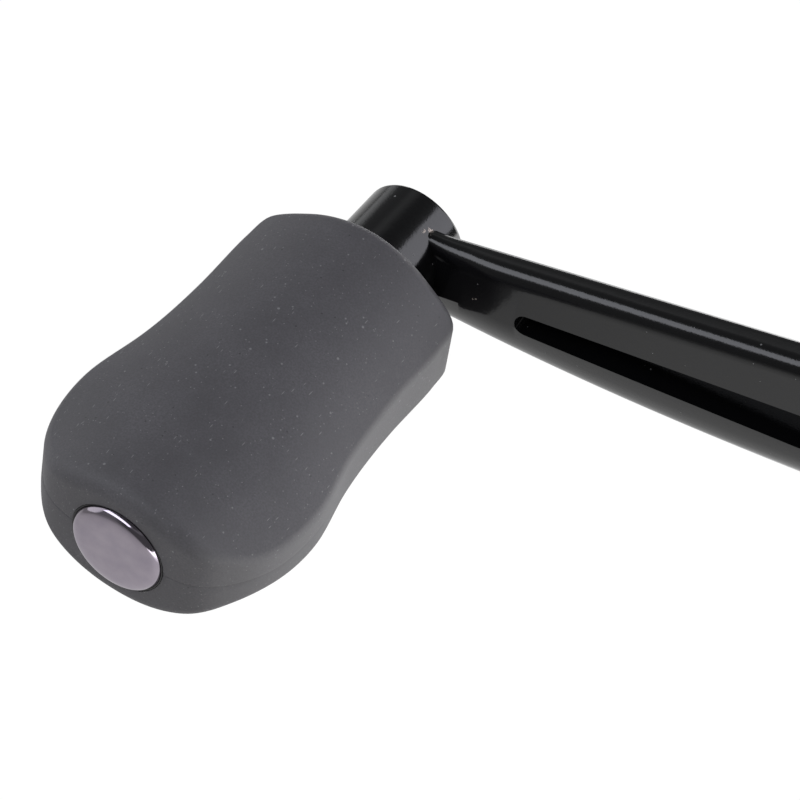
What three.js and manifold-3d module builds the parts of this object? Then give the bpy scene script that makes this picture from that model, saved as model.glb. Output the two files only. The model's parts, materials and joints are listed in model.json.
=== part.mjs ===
// Folding crank handle for a fishing reel: a rubber-covered paddle knob that spins on a steel spindle,
// a painted cast arm, a hinge knuckle with a lock button, and a hexagonal drive shank with a screw cap.
//
// Millimetres, +Z up. The pieces are laid out from the drive axis at the face that seats on the reel:
// +Y points along the drive axis into the reel, and the arm runs towards -X to the knob. The finished
// handle is then moved so that the middle of its bounding box is at the origin.
import * as THREE from "three";
import { mergeVertices } from "three/addons/utils/BufferGeometryUtils.js";
import Module from "manifold-3d";

const wasm = await Module();
wasm.setup();

// ---------- driving dimensions ----------
const ARM_REACH = 70; // drive axis to knob axis, along X
const ARM_LEAN = THREE.MathUtils.degToRad(5.5); // the knob end leans away from the reel
const ARM_THICKNESS = 4.4;
const ARM_TOP = { atBoss: 3.9, atHinge: 8.9 }; // height of the straight upper edge
const ARM_BOTTOM = { atBoss: 3.8, atHinge: 8.4, bendAt: 22 }; // depth of the curved lower edge
const ARM_BACK_ROUND = 1.4;
const ARM_UNDER_ROUND = 3; // the lower front edge is rolled under
const ARM_TOP_ROUND = 2; // the upper front edge
const ARM_TOP_SETBACK = 0.8; // the front face leans back by this much at the boss, not at the hinge
const ARM_ROOT_RISE = { size: 1.3, reach: 7 }; // the upper edge curves up into the boss
const ARM_ROOT_SETBACK = { size: 2.6, reach: 13 }; // the upper front edge curves back into the boss
const BOSS_RADIUS = 5.9;
const BOSS_FRONT = 4.0; // boss face on the knob side, from the arm's middle plane
const BOSS_BACK = 4.7; // boss face on the reel side, from the arm's middle plane

const HINGE_OFFSET = 11; // hinge pin to drive axis, along X
const HINGE_SETBACK = 9; // hinge pin to seating face, along Y
const HINGE_PIN_RADIUS = 1.6;
const CHEEK_RADIUS = 6;
const KNUCKLE_HALF_HEIGHT = 8.25;
const FORK_HALF_GAP = 4.4;
const LUG_HALF_HEIGHT = 3.6;
const LUG_RADIUS = 4.5;

const GRIP_LENGTH = 44;
const GRIP_GAP = 1.1; // knob end to boss face, filled by the thrust washer
const GRIP_NECK_HALF = 12.1; // half width of the straight stretch near the boss
const GRIP_BULB = 2.25; // how much wider each side is at the bulb
const GRIP_BULB_AT = 0.71; // share of the length, from the boss end
const GRIP_BULB_SPREAD = 0.2; // share of the length
const GRIP_CROWN = 4.65; // rise of the broad faces from edge to middle
const GRIP_EDGE_HALF = [4.3, 3.82, 3.2]; // half height of the faces' edges: boss end, middle, cap end
const GRIP_ROUND = { side: 1.35, cap: 2 }; // rounding of the faces' edges: up to the bulb, at the cap end
const GRIP_FACE_INSET = 1.1; // where a broad face meets its side rounding, from the side
const KNOB_ROLL = THREE.MathUtils.degToRad(7); // how far the knob is turned at rest
const SPINDLE_RADIUS = 2.2;
const CORE_RADIUS = 5.6;
const CAP_RADIUS = 5.15;

const BARREL_RADIUS = 7.2;
const BARREL_FRONT = -17; // outer end of the knuckle on the drive axis
const COLLAR_LENGTH = 2.2;
const SEAL_POCKET = { radius: 5.6, depth: 1.6 }; // in the collar's seating face
const SHANK_ACROSS_FLATS = 7;
const SHANK_LENGTH = 34; // seating face to the end of the hexagon
const SHANK_CORNER_RADIUS = SHANK_ACROSS_FLATS / Math.sqrt(3);
const STUD_RADIUS = 2.5;
const STUD_LENGTH = 9;
const SCREW_CAP_RADIUS = 8;
const SCREW_CAP_LENGTH = 12;

const LOCK_BUTTON_X = -4.6;
const LOCK_BUTTON_Y = -11.6;
const LOCK_TRAVEL = 1.4;

const RUNNING_CLEARANCE = 0.1;
const FIT_GAP = 0.3;
const ROUND_SEGMENTS = 24;
const LARGE_SEGMENTS = 40;

const SPINDLE_END = -34.5; // along the knob axis, from the knob's boss end
const CORE_END = -43.4;
const SEAT_RADIUS = 4.2; // bush seats inside the core

// ---------- helpers ----------
function solid(geometry) {
  const bare = geometry.clone();
  bare.deleteAttribute("normal");
  bare.deleteAttribute("uv");
  const merged = mergeVertices(bare, 1e-4);
  const mesh = new wasm.Mesh({
    numProp: 3,
    vertProperties: merged.attributes.position.array,
    triVerts: new Uint32Array(merged.index.array),
  });
  return new wasm.Manifold(mesh);
}

function geometryOf(body) {
  const mesh = body.getMesh();
  const geometry = new THREE.BufferGeometry();
  geometry.setAttribute("position", new THREE.BufferAttribute(mesh.vertProperties, 3));
  geometry.setIndex(new THREE.BufferAttribute(mesh.triVerts, 1));
  geometry.computeVertexNormals();
  return geometry;
}

function join(base, ...others) {
  return geometryOf(others.reduce((body, other) => body.add(solid(other)), solid(base)));
}

function cut(base, ...tools) {
  return geometryOf(tools.reduce((body, tool) => body.subtract(solid(tool)), solid(base)));
}

// A turned piece about the Y axis. The profile is a list of [radius, y], anticlockwise with the axis
// on its left; it either starts and ends on the axis or is closed here into a ring.
function turned(profile, segments = ROUND_SEGMENTS) {
  const points = profile.map(([radius, y]) => new THREE.Vector2(radius, y));
  const onAxis = profile[0][0] === 0 && profile[profile.length - 1][0] === 0;
  if (!onAxis) points.push(points[0].clone());
  return new THREE.LatheGeometry(points, segments);
}

function ring(innerRadius, outerRadius, yLow, yHigh, segments = ROUND_SEGMENTS) {
  const profile = [
    [innerRadius, yLow],
    [outerRadius, yLow],
    [outerRadius, yHigh],
    [innerRadius, yHigh],
  ];
  return turned(profile, segments);
}

function rodY(radius, yLow, yHigh, segments = ROUND_SEGMENTS) {
  const geometry = new THREE.CylinderGeometry(radius, radius, yHigh - yLow, segments);
  return geometry.translate(0, (yLow + yHigh) / 2, 0);
}

function rodZ(radius, zLow, zHigh, segments = ROUND_SEGMENTS) {
  return alongZ(rodY(radius, zLow, zHigh, segments));
}

// Turns a piece made about Y so that its +Y end points to +Z.
function alongZ(geometry) {
  return geometry.rotateX(Math.PI / 2);
}

function box(xLow, xHigh, yLow, yHigh, zLow, zHigh) {
  const geometry = new THREE.BoxGeometry(xHigh - xLow, yHigh - yLow, zHigh - zLow);
  return geometry.translate((xLow + xHigh) / 2, (yLow + yHigh) / 2, (zLow + zHigh) / 2);
}

class Helix extends THREE.Curve {
  constructor(radius, length, turns) {
    super();
    Object.assign(this, { radius, length, turns });
  }

  getPoint(t, target = new THREE.Vector3()) {
    const angle = 2 * Math.PI * this.turns * t;
    const x = this.radius * Math.cos(angle);
    const y = this.radius * Math.sin(angle);
    return target.set(x, y, this.length * t);
  }
}

function coilSpring(coilRadius, wireRadius, length, turns) {
  const wire = new THREE.Shape().absarc(0, 0, wireRadius, 0, 2 * Math.PI);
  const path = new Helix(coilRadius, length, turns);
  return new THREE.ExtrudeGeometry(wire, { steps: turns * 12, curveSegments: 3, extrudePath: path });
}

function part(name, geometry, look) {
  const mesh = new THREE.Mesh(geometry, new THREE.MeshStandardMaterial(look));
  mesh.name = name;
  return mesh;
}

// ---------- looks ----------
const GREY_RUBBER = { color: 0x5a5b5e, roughness: 0.75, metalness: 0 };
const BLACK_PAINT = { color: 0x0c0c0e, roughness: 0.15, metalness: 0 };
const BLACK_PLASTIC = { color: 0x111113, roughness: 0.4, metalness: 0 };
const CHROME = { color: 0xcfcbd3, roughness: 0.06, metalness: 1 };
const STEEL = { color: 0x9c9ea2, roughness: 0.3, metalness: 1 };
const BRASS = { color: 0xb08a45, roughness: 0.35, metalness: 1 };
const NYLON = { color: 0xd8d5cc, roughness: 0.5, metalness: 0 };
const SEAL_RUBBER = { color: 0x151515, roughness: 0.8, metalness: 0 };

// ---------- knob: everything that spins on the spindle ----------
// Knob frame: the origin is the middle of the boss end, and the knob runs along -Y.
function gripHalfWidth(y) {
  const fromBulb = -y / GRIP_LENGTH - GRIP_BULB_AT;
  return GRIP_NECK_HALF + GRIP_BULB * Math.exp(-((fromBulb / GRIP_BULB_SPREAD) ** 2));
}

function gripOutline() {
  const sides = [0.11, 0.3, 0.5, 0.68, 0.82].map((share) => {
    const y = -share * GRIP_LENGTH;
    return [gripHalfWidth(y), y];
  });
  const half = [
    [6.8, -0.4],
    [11.4, -1.4],
    ...sides,
    [11.8, 3.8 - GRIP_LENGTH],
    [8.5, 0.8 - GRIP_LENGTH],
  ];
  const right = half.map(([x, y]) => new THREE.Vector3(x, y, 0));
  const left = half.map(([x, y]) => new THREE.Vector3(-x, y, 0)).reverse();
  const ends = [new THREE.Vector3(0, 0, 0), new THREE.Vector3(0, -GRIP_LENGTH, 0)];
  return new THREE.CatmullRomCurve3([ends[0], ...right, ends[1], ...left], true, "centripetal");
}

function gripTop(x, y) {
  const along = -y / GRIP_LENGTH;
  const [boss, middle, cap] = GRIP_EDGE_HALF;
  const edge =
    boss * (1 - along) * (1 - 2 * along) + 4 * middle * along * (1 - along) + cap * along * (2 * along - 1);
  return edge + GRIP_CROWN * (1 - (x / (gripHalfWidth(y) - GRIP_FACE_INSET)) ** 2);
}

// The rounding of the broad faces' edges widens past the bulb.
function gripRounding(share) {
  const pastBulb = Math.max(0, (share - GRIP_BULB_AT) / (1 - GRIP_BULB_AT));
  return THREE.MathUtils.lerp(GRIP_ROUND.side, GRIP_ROUND.cap, pastBulb);
}

// One point of the grip's surface. turn runs round the outline; level runs from 0 at the middle of the
// upper face, over the rounded edge, to 1 at half height.
function gripPoint(outline, turn, level) {
  const FACE_SHARE = 0.45;
  const ROUND_SHARE = 0.9;
  const rim = outline.getPointAt(turn);
  const tangent = outline.getTangentAt(turn);
  const outward = new THREE.Vector3(-tangent.y, tangent.x, 0);
  const radius = gripRounding(-rim.y / GRIP_LENGTH);
  const near = rim.clone().addScaledVector(outward, -0.5 * radius);
  const step = 0.01;
  const slopeX = (gripTop(near.x + step, near.y) - gripTop(near.x, near.y)) / step;
  const slopeY = (gripTop(near.x, near.y + step) - gripTop(near.x, near.y)) / step;
  const slope = Math.atan(Math.max(0, -(slopeX * outward.x + slopeY * outward.y)));
  const start = rim.clone().addScaledVector(outward, -radius * (1 - Math.sin(slope)));
  const startZ = gripTop(start.x, start.y);
  if (level <= FACE_SHARE) {
    const middle = new THREE.Vector3(0, -GRIP_LENGTH / 2, 0);
    const point = middle.lerp(start, level / FACE_SHARE);
    return point.setZ(gripTop(point.x, point.y));
  }
  const sideTop = startZ - radius * Math.cos(slope);
  if (level <= ROUND_SHARE) {
    const share = (level - FACE_SHARE) / (ROUND_SHARE - FACE_SHARE);
    const angle = THREE.MathUtils.lerp(slope, Math.PI / 2, share);
    const point = start.addScaledVector(outward, radius * (Math.sin(angle) - Math.sin(slope)));
    return point.setZ(sideTop + radius * Math.cos(angle));
  }
  return rim.setZ((sideTop * (1 - level)) / (1 - ROUND_SHARE));
}

function gripCover() {
  const outline = gripOutline();
  const shell = new THREE.SphereGeometry(1, 52, 18);
  const place = shell.attributes.position;
  for (let i = 0; i < place.count; i++) {
    const height = THREE.MathUtils.clamp(place.getY(i), -1, 1);
    const turn = Math.atan2(place.getZ(i), place.getX(i)) / (2 * Math.PI);
    const level = Math.acos(Math.abs(height)) / (Math.PI / 2);
    const point = gripPoint(outline, THREE.MathUtils.euclideanModulo(turn, 1), Math.min(level, 1));
    place.setXYZ(i, point.x, point.y, Math.sign(height) * point.z);
  }
  return cut(shell, rodY(CORE_RADIUS + FIT_GAP, -GRIP_LENGTH - 2, 2, LARGE_SEGMENTS));
}

function gripCore() {
  const innerSeatEnd = -6.5;
  const outerSeatStart = -28;
  const waist = 3;
  return turned([
    [SEAT_RADIUS, CORE_END],
    [CORE_RADIUS, CORE_END],
    [CORE_RADIUS, -0.4],
    [SEAT_RADIUS, -0.4],
    [SEAT_RADIUS, innerSeatEnd],
    [waist, innerSeatEnd],
    [waist, outerSeatStart],
    [SEAT_RADIUS, outerSeatStart],
  ]);
}

function bush(yLow, yHigh) {
  return ring(SPINDLE_RADIUS + RUNNING_CLEARANCE, SEAT_RADIUS - RUNNING_CLEARANCE, yLow, yHigh);
}

// A plug whose head stands a little proud of the rubber, with a shallow seat for the polished disc.
function capPlug() {
  const proud = 0.45;
  const seatDepth = 0.5;
  const headRadius = CAP_RADIUS + 0.25;
  return turned([
    [0, -39.5],
    [0, -GRIP_LENGTH - proud + seatDepth],
    [CAP_RADIUS + RUNNING_CLEARANCE, -GRIP_LENGTH - proud + seatDepth],
    [CAP_RADIUS + RUNNING_CLEARANCE, -GRIP_LENGTH - proud],
    [headRadius, -GRIP_LENGTH - proud],
    [headRadius, CORE_END - RUNNING_CLEARANCE],
    [SEAT_RADIUS - FIT_GAP, CORE_END - RUNNING_CLEARANCE],
    [SEAT_RADIUS - FIT_GAP, -39.5],
  ]);
}

function endCap() {
  const back = -GRIP_LENGTH - 0.05;
  const front = -GRIP_LENGTH - 0.5;
  return turned([
    [0, front - 0.1],
    [0.6 * CAP_RADIUS, front - 0.06],
    [CAP_RADIUS - 0.1, front],
    [CAP_RADIUS, front + 0.1],
    [CAP_RADIUS, back],
    [0, back],
  ]);
}

function knob() {
  const group = new THREE.Group();
  group.add(part("grip_cover", gripCover(), GREY_RUBBER));
  group.add(part("grip_core", gripCore(), BLACK_PLASTIC));
  group.add(part("inner_bush", bush(-6.4, -0.6), NYLON));
  group.add(part("outer_bush", bush(-34, -28.1), NYLON));
  group.add(part("cap_plug", capPlug(), BLACK_PLASTIC));
  group.add(part("end_cap", endCap(), CHROME));
  group.rotation.y = KNOB_ROLL;
  return group;
}

// ---------- spindle: fixed to the arm, in the knob frame ----------
function knobSpindle() {
  const tappedRadius = 1.3;
  const tappedDepth = 9;
  const bossEnd = GRIP_GAP + BOSS_FRONT + BOSS_BACK - 1.2;
  return turned([
    [0, SPINDLE_END + tappedDepth],
    [tappedRadius, SPINDLE_END + tappedDepth],
    [tappedRadius, SPINDLE_END],
    [SPINDLE_RADIUS, SPINDLE_END],
    [SPINDLE_RADIUS, bossEnd],
    [0, bossEnd],
  ]);
}

function spindleScrew() {
  const top = SPINDLE_END - 1;
  const body = turned([
    [0, top - 1.8],
    [2.2, top - 1.8],
    [2.8, top - 1.2],
    [2.8, top],
    [1.1, top],
    [1.1, top + 8],
    [0, top + 8],
  ]);
  const slot = box(-0.4, 0.4, top - 2, top - 1, -4, 4);
  return cut(body, slot);
}

function spindleParts() {
  const group = new THREE.Group();
  group.add(part("knob_spindle", knobSpindle(), STEEL));
  group.add(part("thrust_washer", ring(SPINDLE_RADIUS + 0.1, 4.1, 0.3, 0.8), NYLON));
  group.add(part("spindle_washer", ring(1.5, 3.6, SPINDLE_END - 0.8, SPINDLE_END - 0.2), STEEL));
  group.add(part("spindle_screw", spindleScrew(), STEEL));
  return group;
}

// ---------- arm ----------
// Arm frame: the origin is on the knob axis in the arm's middle plane, and +X runs to the hinge.
const ARM_SPAN = (ARM_REACH - HINGE_OFFSET) / Math.cos(ARM_LEAN);

// How far the blade departs from its plain shape at a distance along the arm.
function rootCurve({ size, reach }, along) {
  return size * Math.max(0, 1 - along / reach) ** 2;
}

// The blade's section at a distance along the arm, as a closed path in (Y, Z). The lower edge follows a
// quadratic curve that levels out at the hinge.
function bladeSection(along) {
  const bladeEnd = ARM_SPAN - CHEEK_RADIUS;
  const share = along / bladeEnd;
  const half = ARM_THICKNESS / 2;
  const top = THREE.MathUtils.lerp(ARM_TOP.atBoss, ARM_TOP.atHinge, share) + rootCurve(ARM_ROOT_RISE, along);
  const bend = ARM_BOTTOM.bendAt / bladeEnd;
  const t = (Math.sqrt(bend ** 2 + (1 - 2 * bend) * share) - bend) / (1 - 2 * bend);
  const { atBoss, atHinge } = ARM_BOTTOM;
  const bottom = -(atBoss * (1 - t) ** 2 + atHinge * t * (2 - t));
  const smallestRound = 0.2;
  const frontRoom = ARM_THICKNESS - ARM_BACK_ROUND;
  const wantedSetback = ARM_TOP_SETBACK * (1 - share) + rootCurve(ARM_ROOT_SETBACK, along);
  const setback = Math.min(wantedSetback, frontRoom - smallestRound);
  const topRound = Math.min(ARM_TOP_ROUND, frontRoom - setback);
  const lean = THREE.MathUtils.radToDeg(Math.atan(setback / (top - bottom)));
  const corners = [
    { y: half, inward: -1, z: bottom, radius: ARM_BACK_ROUND, from: -90, to: 0 },
    { y: half, inward: -1, z: top, radius: ARM_BACK_ROUND, from: 0, to: 90 },
    { y: setback - half, inward: 1, z: top, radius: topRound, from: 90, to: 180 + lean },
    { y: -half, inward: 1, z: bottom, radius: ARM_UNDER_ROUND, from: 180 + lean, to: 270 },
  ];
  const section = new THREE.Path();
  for (const { y, inward, z, radius, from, to } of corners) {
    const centreZ = z === top ? z - radius : z + radius;
    const angles = [from, to].map(THREE.MathUtils.degToRad);
    section.absarc(y + inward * radius, centreZ, radius, ...angles, false);
  }
  section.closePath();
  return section;
}

// The blade is a closed tube whose rings are the sections from the boss to the hinge.
function blade() {
  const bladeEnd = ARM_SPAN - CHEEK_RADIUS;
  const tube = new THREE.CylinderGeometry(1, 1, 1, 32, 18);
  const place = tube.attributes.position;
  for (let i = 0; i < place.count; i++) {
    const along = (place.getY(i) + 0.5) * bladeEnd;
    const section = bladeSection(along);
    const onRim = Math.hypot(place.getX(i), place.getZ(i)) > 0.5;
    const turn = Math.atan2(place.getZ(i), -place.getX(i)) / (2 * Math.PI) + 0.5;
    const point = onRim ? section.getPointAt(turn % 1) : new THREE.Vector2(0, 0);
    place.setXYZ(i, along, point.x, point.y);
  }
  return tube;
}

// A recess that widens towards the hinge: two half circles joined by their common tangents.
function recessOutline() {
  const near = { x: 16.6, radius: 1.25 };
  const far = { x: 47.5, radius: 2.3 };
  const height = -0.6;
  const lean = Math.asin((far.radius - near.radius) / (far.x - near.x));
  const outline = new THREE.Shape();
  outline.absarc(far.x, height, far.radius, -Math.PI / 2 - lean, Math.PI / 2 + lean, false);
  outline.absarc(near.x, height, near.radius, Math.PI / 2 + lean, 1.5 * Math.PI - lean, false);
  outline.closePath();
  return outline;
}

// Extrudes an outline drawn in X and Z so that it spans yLow to yHigh.
function slab(outline, yLow, yHigh) {
  const options = { depth: yHigh - yLow, bevelEnabled: false, curveSegments: 8 };
  return new THREE.ExtrudeGeometry(outline, options).rotateX(Math.PI / 2).translate(0, yHigh, 0);
}

function handleArm() {
  const half = ARM_THICKNESS / 2;
  const recess = slab(recessOutline(), -half - 1, -half + 3.2);
  const edge = 0.25;
  const bossProfile = [
    [0, -BOSS_FRONT],
    [BOSS_RADIUS - edge, -BOSS_FRONT],
    [BOSS_RADIUS, -BOSS_FRONT + edge],
    [BOSS_RADIUS, BOSS_BACK - edge],
    [BOSS_RADIUS - edge, BOSS_BACK],
    [0, BOSS_BACK],
  ];
  const boss = turned(bossProfile, LARGE_SEGMENTS).rotateZ(-ARM_LEAN);
  const spindleBore = rodY(SPINDLE_RADIUS + FIT_GAP, -BOSS_FRONT - 1, BOSS_BACK - 1).rotateZ(-ARM_LEAN);
  const cheekSweep = CHEEK_RADIUS + 0.5;
  const cheekRoom = [
    rodZ(cheekSweep, LUG_HALF_HEIGHT, 12).translate(ARM_SPAN, 0, 0),
    rodZ(cheekSweep, -12, -LUG_HALF_HEIGHT).translate(ARM_SPAN, 0, 0),
  ];
  const lugHalfWidth = 3;
  const neck = box(ARM_SPAN - 9.5, ARM_SPAN, -lugHalfWidth, lugHalfWidth, -LUG_HALF_HEIGHT, LUG_HALF_HEIGHT);
  const eye = rodZ(LUG_RADIUS, -LUG_HALF_HEIGHT, LUG_HALF_HEIGHT).translate(ARM_SPAN, 0, 0);
  const pinBore = rodZ(HINGE_PIN_RADIUS + RUNNING_CLEARANCE, -9, 9).translate(ARM_SPAN, 0, 0);
  return cut(join(cut(blade(), ...cheekRoom), neck, eye, boss), recess, spindleBore, pinBore);
}

// ---------- knuckle: the root body ----------
function hingeKnuckle() {
  const height = KNUCKLE_HALF_HEIGHT;
  const barrel = rodY(BARREL_RADIUS, BARREL_FRONT, -COLLAR_LENGTH - 0.2, LARGE_SEGMENTS);
  const cheeks = rodZ(CHEEK_RADIUS, -height, height, LARGE_SEGMENTS);
  const bridge = box(0, HINGE_OFFSET, -CHEEK_RADIUS, CHEEK_RADIUS, -height, height);
  const hingeSide = [cheeks, bridge].map((piece) => piece.translate(-HINGE_OFFSET, -HINGE_SETBACK, 0));
  const gapWall = LUG_RADIUS + 0.9;
  const forkGap = box(-20, gapWall - HINGE_OFFSET, -20, 0, -FORK_HALF_GAP, FORK_HALF_GAP);
  const pinBore = rodZ(HINGE_PIN_RADIUS + 0.05, -height - 1, height + 1);
  const button = { x: LOCK_BUTTON_X, y: LOCK_BUTTON_Y };
  return cut(
    join(barrel, ...hingeSide),
    forkGap,
    pinBore.translate(-HINGE_OFFSET, -HINGE_SETBACK, 0),
    rodZ(2.3, -7.2, height + 1).translate(button.x, button.y, 0),
    rodZ(3, height - 1.1, height + 1).translate(button.x, button.y, 0),
    rodY(5.7, BARREL_FRONT - 1, BARREL_FRONT + 0.7),
    rodY(3.3, BARREL_FRONT, BARREL_FRONT + 3),
    rodY(2.1, BARREL_FRONT, -HINGE_SETBACK),
    rodY(SHANK_CORNER_RADIUS + RUNNING_CLEARANCE, -HINGE_SETBACK, 0),
  );
}

function hingePin() {
  const top = KNUCKLE_HALF_HEIGHT + 0.1;
  const grooveLow = -KNUCKLE_HALF_HEIGHT - 0.9;
  const grooveHigh = -KNUCKLE_HALF_HEIGHT - 0.1;
  const pin = turned([
    [0, grooveLow - 0.7],
    [HINGE_PIN_RADIUS - 0.3, grooveLow - 0.7],
    [HINGE_PIN_RADIUS, grooveLow - 0.4],
    [HINGE_PIN_RADIUS, grooveLow],
    [1.2, grooveLow],
    [1.2, grooveHigh],
    [HINGE_PIN_RADIUS, grooveHigh],
    [HINGE_PIN_RADIUS, top],
    [2.7, top],
    [2.7, top + 0.5],
    [2, top + 0.9],
    [0, top + 0.9],
  ]);
  return alongZ(pin);
}

// A snap ring that is open on one side.
function hingePinClip() {
  const low = -KNUCKLE_HALF_HEIGHT - 0.8;
  const high = -KNUCKLE_HALF_HEIGHT - 0.2;
  const disc = alongZ(ring(1.35, 2.9, low, high, 24));
  return cut(disc, box(-0.8, 0.8, 0, 4, low - 1, high + 1));
}

function hingeWasher(side) {
  const middle = (side * (LUG_HALF_HEIGHT + FORK_HALF_GAP)) / 2;
  return alongZ(ring(HINGE_PIN_RADIUS + RUNNING_CLEARANCE, 4.2, middle - 0.25, middle + 0.25));
}

function driveShank() {
  const hexagon = rodY(SHANK_CORNER_RADIUS, -HINGE_SETBACK + 0.2, SHANK_LENGTH, 6);
  const stud = turned([
    [0, SHANK_LENGTH - 1],
    [STUD_RADIUS, SHANK_LENGTH - 1],
    [STUD_RADIUS, SHANK_LENGTH + STUD_LENGTH - 0.6],
    [STUD_RADIUS - 0.6, SHANK_LENGTH + STUD_LENGTH],
    [0, SHANK_LENGTH + STUD_LENGTH],
  ]);
  return cut(join(hexagon, stud), rodY(2.05, -HINGE_SETBACK, -1));
}

function shankScrew() {
  const headFront = BARREL_FRONT + 0.9;
  const headBack = BARREL_FRONT + 2.9;
  const body = turned([
    [0, headFront],
    [2.9, headFront],
    [2.9, headBack],
    [1.9, headBack],
    [1.9, -2],
    [0, -2],
  ]);
  return cut(body, rodY(1.5, headFront - 1, headFront + 1.3, 6));
}

function noseCap() {
  const back = BARREL_FRONT + 0.6;
  return turned([
    [0, BARREL_FRONT - 1],
    [3.4, BARREL_FRONT - 0.75],
    [5.2, BARREL_FRONT - 0.2],
    [5.5, BARREL_FRONT + 0.1],
    [5.5, back],
    [0, back],
  ]);
}

// The collar's outer ring is the face that seats on the reel, and its pocket holds the seal.
function reelCollar() {
  const bore = SHANK_CORNER_RADIUS + RUNNING_CLEARANCE;
  const edge = 0.4;
  return turned([
    [bore, -COLLAR_LENGTH],
    [BARREL_RADIUS - edge, -COLLAR_LENGTH],
    [BARREL_RADIUS, -COLLAR_LENGTH + edge],
    [BARREL_RADIUS, -edge],
    [BARREL_RADIUS - edge, 0],
    [SEAL_POCKET.radius, 0],
    [SEAL_POCKET.radius, -SEAL_POCKET.depth],
    [bore, -SEAL_POCKET.depth],
  ]);
}

function shankSeal() {
  const wire = 0.55;
  const ringRadius = (SHANK_CORNER_RADIUS + SEAL_POCKET.radius) / 2;
  const torus = new THREE.TorusGeometry(ringRadius, wire, 8, ROUND_SEGMENTS);
  return torus.rotateX(Math.PI / 2).translate(0, -SEAL_POCKET.depth / 2, 0);
}

function lockButton() {
  const top = KNUCKLE_HALF_HEIGHT + LOCK_TRAVEL;
  const shoulder = KNUCKLE_HALF_HEIGHT - 1.2;
  return alongZ(turned([
    [0, -3.4],
    [2.1, -3.4],
    [2.1, shoulder],
    [1.7, shoulder],
    [1.7, top - 0.3],
    [1.3, top],
    [0, top],
  ]));
}

function lockSpring() {
  const wire = 0.25;
  const low = -7.1 + wire;
  const high = -3.5 - wire;
  return coilSpring(1.6, wire, high - low, 4).translate(LOCK_BUTTON_X, LOCK_BUTTON_Y, low);
}

function atButton(mesh) {
  mesh.position.set(LOCK_BUTTON_X, LOCK_BUTTON_Y, 0);
  return mesh;
}

function atHinge(mesh) {
  mesh.position.set(-HINGE_OFFSET, -HINGE_SETBACK, 0);
  return mesh;
}

function knuckleParts() {
  const group = new THREE.Group();
  const buttonRing = alongZ(ring(1.85, 2.9, KNUCKLE_HALF_HEIGHT - 1, KNUCKLE_HALF_HEIGHT));
  group.add(part("hinge_knuckle", hingeKnuckle(), BLACK_PAINT));
  group.add(atHinge(part("hinge_pin", hingePin(), STEEL)));
  group.add(atHinge(part("hinge_pin_clip", hingePinClip(), STEEL)));
  group.add(atHinge(part("hinge_washer_upper", hingeWasher(1), NYLON)));
  group.add(atHinge(part("hinge_washer_lower", hingeWasher(-1), NYLON)));
  group.add(part("drive_shank", driveShank(), STEEL));
  group.add(part("shank_screw", shankScrew(), STEEL));
  group.add(part("nose_cap", noseCap(), CHROME));
  group.add(part("reel_collar", reelCollar(), CHROME));
  group.add(part("shank_seal", shankSeal(), SEAL_RUBBER));
  group.add(atButton(part("button_ring", buttonRing, CHROME)));
  group.add(atButton(part("lock_button", lockButton(), BLACK_PLASTIC)));
  group.add(part("lock_spring", lockSpring(), STEEL));
  return group;
}

// ---------- screw cap on the far side of the reel ----------
function screwCap() {
  const face = SHANK_LENGTH + 1.2;
  const end = face + SCREW_CAP_LENGTH;
  const body = turned([
    [0, face + STUD_LENGTH],
    [STUD_RADIUS + RUNNING_CLEARANCE, face + STUD_LENGTH],
    [STUD_RADIUS + RUNNING_CLEARANCE, face],
    [SCREW_CAP_RADIUS - 0.8, face],
    [SCREW_CAP_RADIUS - 0.8, face + 1.6],
    [SCREW_CAP_RADIUS, face + 2.2],
    [SCREW_CAP_RADIUS, end - 1.5],
    [SCREW_CAP_RADIUS - 1.5, end],
    [0, end],
  ], LARGE_SEGMENTS);
  const flutes = [];
  const fluteCount = 12;
  for (let i = 0; i < fluteCount; i++) {
    const angle = (2 * Math.PI * i) / fluteCount;
    const flute = rodY(1.1, face + 3.2, end + 1, 12);
    flutes.push(flute.translate(0, 0, SCREW_CAP_RADIUS + 0.5).rotateY(angle));
  }
  return cut(body, ...flutes, box(-0.7, 0.7, end - 1.4, end + 1, -10, 10));
}

// A cupped washer: only its rim, outside the hexagon's corners, bears on the reel.
function capWasher() {
  const bore = STUD_RADIUS + RUNNING_CLEARANCE;
  const rimInner = SHANK_CORNER_RADIUS + FIT_GAP;
  const rimOuter = 6.2;
  const face = SHANK_LENGTH + 0.2;
  const web = face + 0.4;
  const back = face + 0.8;
  return turned([
    [bore, web],
    [rimInner, web],
    [rimInner, face],
    [rimOuter, face],
    [rimOuter, back],
    [bore, back],
  ]);
}

function screwCapParts() {
  const group = new THREE.Group();
  group.add(part("cap_washer", capWasher(), NYLON));
  group.add(part("screw_cap", screwCap(), BLACK_PLASTIC));
  return group;
}

// ---------- assembly ----------
const knobAxisY = -HINGE_SETBACK - (ARM_REACH - HINGE_OFFSET) * Math.tan(ARM_LEAN);

const onKnobAxis = new THREE.Group();
onKnobAxis.position.set(-ARM_REACH, knobAxisY - BOSS_FRONT - GRIP_GAP, 0);
onKnobAxis.add(knob(), spindleParts());

const arm = part("handle_arm", handleArm(), BLACK_PAINT);
arm.position.set(-ARM_REACH, knobAxisY, 0);
arm.rotation.z = ARM_LEAN;

const laidOut = new THREE.Group();
laidOut.add(onKnobAxis, arm, knuckleParts(), screwCapParts());
const middle = new THREE.Box3().setFromObject(laidOut, true).getCenter(new THREE.Vector3());
laidOut.position.copy(middle).negate();

const handle = new THREE.Group();
handle.add(laidOut);

export default handle;
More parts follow.
